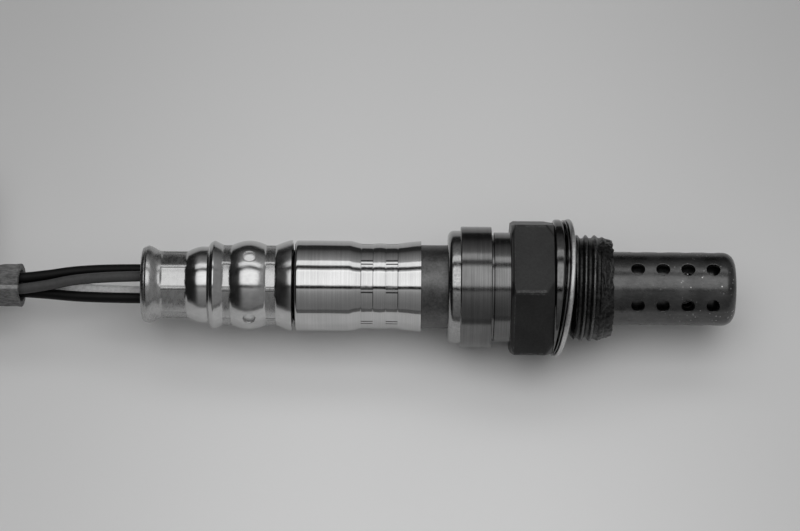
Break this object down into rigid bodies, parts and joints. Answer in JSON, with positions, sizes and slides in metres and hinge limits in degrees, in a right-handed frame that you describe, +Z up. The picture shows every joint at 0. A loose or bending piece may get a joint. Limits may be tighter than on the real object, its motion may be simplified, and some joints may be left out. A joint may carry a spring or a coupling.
{
  "type": "oxygen sensor",
  "caption": "Heated exhaust oxygen sensor with a perforated probe tip, threaded hexagon body, crimped sheet covers and a sleeved four-wire lead to a plug-in connector.",
  "frame": {"origin": "on the thread's axis where the open thread begins, in the plane of the free gasket's front", "axes": "+X along the thread's axis to the sensing tip, +Z up, away from the hexagon flat that the sensor lies on"},
  "size_m": [0.2688, 0.0563, 0.0232],
  "materials": {
    "shell_steel": "dark heat-toned turned steel",
    "gasket_steel": "dark folded strip with a bright rim",
    "protector_steel": "dark sooted stainless sheet",
    "inner_steel": "plain stainless sheet",
    "tube_steel": "dark heat-toned drawn tube",
    "cover_steel": "bright stainless sheet",
    "zirconia": "matt white ceramic",
    "heater_ceramic": "matt white ceramic rod",
    "talc": "pressed pale powder",
    "bush_ceramic": "matt cream ceramic",
    "packing_steel": "plain soft metal",
    "filter": "white porous film",
    "grommet_rubber": "matt black rubber",
    "contact_metal": "plated spring strip",
    "wire_black": "smooth black insulation",
    "wire_grey": "smooth grey insulation",
    "wire_white": "smooth white insulation",
    "sleeve_weave": "woven glass-fibre sleeve with a pale stripe",
    "connector_plastic": "dark grey moulded plastic",
    "seal_rubber": "grey rubber",
    "lock_plastic": "grey moulded plastic",
    "tie_plastic": "black moulded strap"
  },
  "bodies": {
    "root": {"hex_shell": "shell_steel", "gasket": "gasket_steel", "outer_protector": "protector_steel", "inner_protector": "inner_steel", "zirconia_element": "zirconia", "heater_rod": "heater_ceramic", "front_packing": "packing_steel", "talc_ring": "talc", "ceramic_bush": "bush_ceramic", "crimp_packing": "packing_steel", "inner_tube": "tube_steel", "mid_cover": "cover_steel", "rear_cover": "cover_steel", "filter_sleeve": "filter", "grommet": "grommet_rubber", "contact_holder": "bush_ceramic", "holder_spring": "inner_steel", "signal_contact": "contact_metal", "ground_contact": "contact_metal", "heater_contact_1": "contact_metal", "heater_contact_2": "contact_metal", "wire_black_rear": "wire_black", "wire_grey": "wire_grey", "wire_black_front": "wire_black", "wire_white": "wire_white", "protective_sleeve": "sleeve_weave", "connector_housing": "connector_plastic", "secondary_lock": "lock_plastic", "lead_tie": "tie_plastic", "connector_terminal_1": "contact_metal", "wire_seal_1": "seal_rubber", "connector_terminal_2": "contact_metal", "wire_seal_2": "seal_rubber", "connector_terminal_3": "contact_metal", "wire_seal_3": "seal_rubber", "connector_terminal_4": "contact_metal", "wire_seal_4": "seal_rubber"}
  },
  "joints": []
}
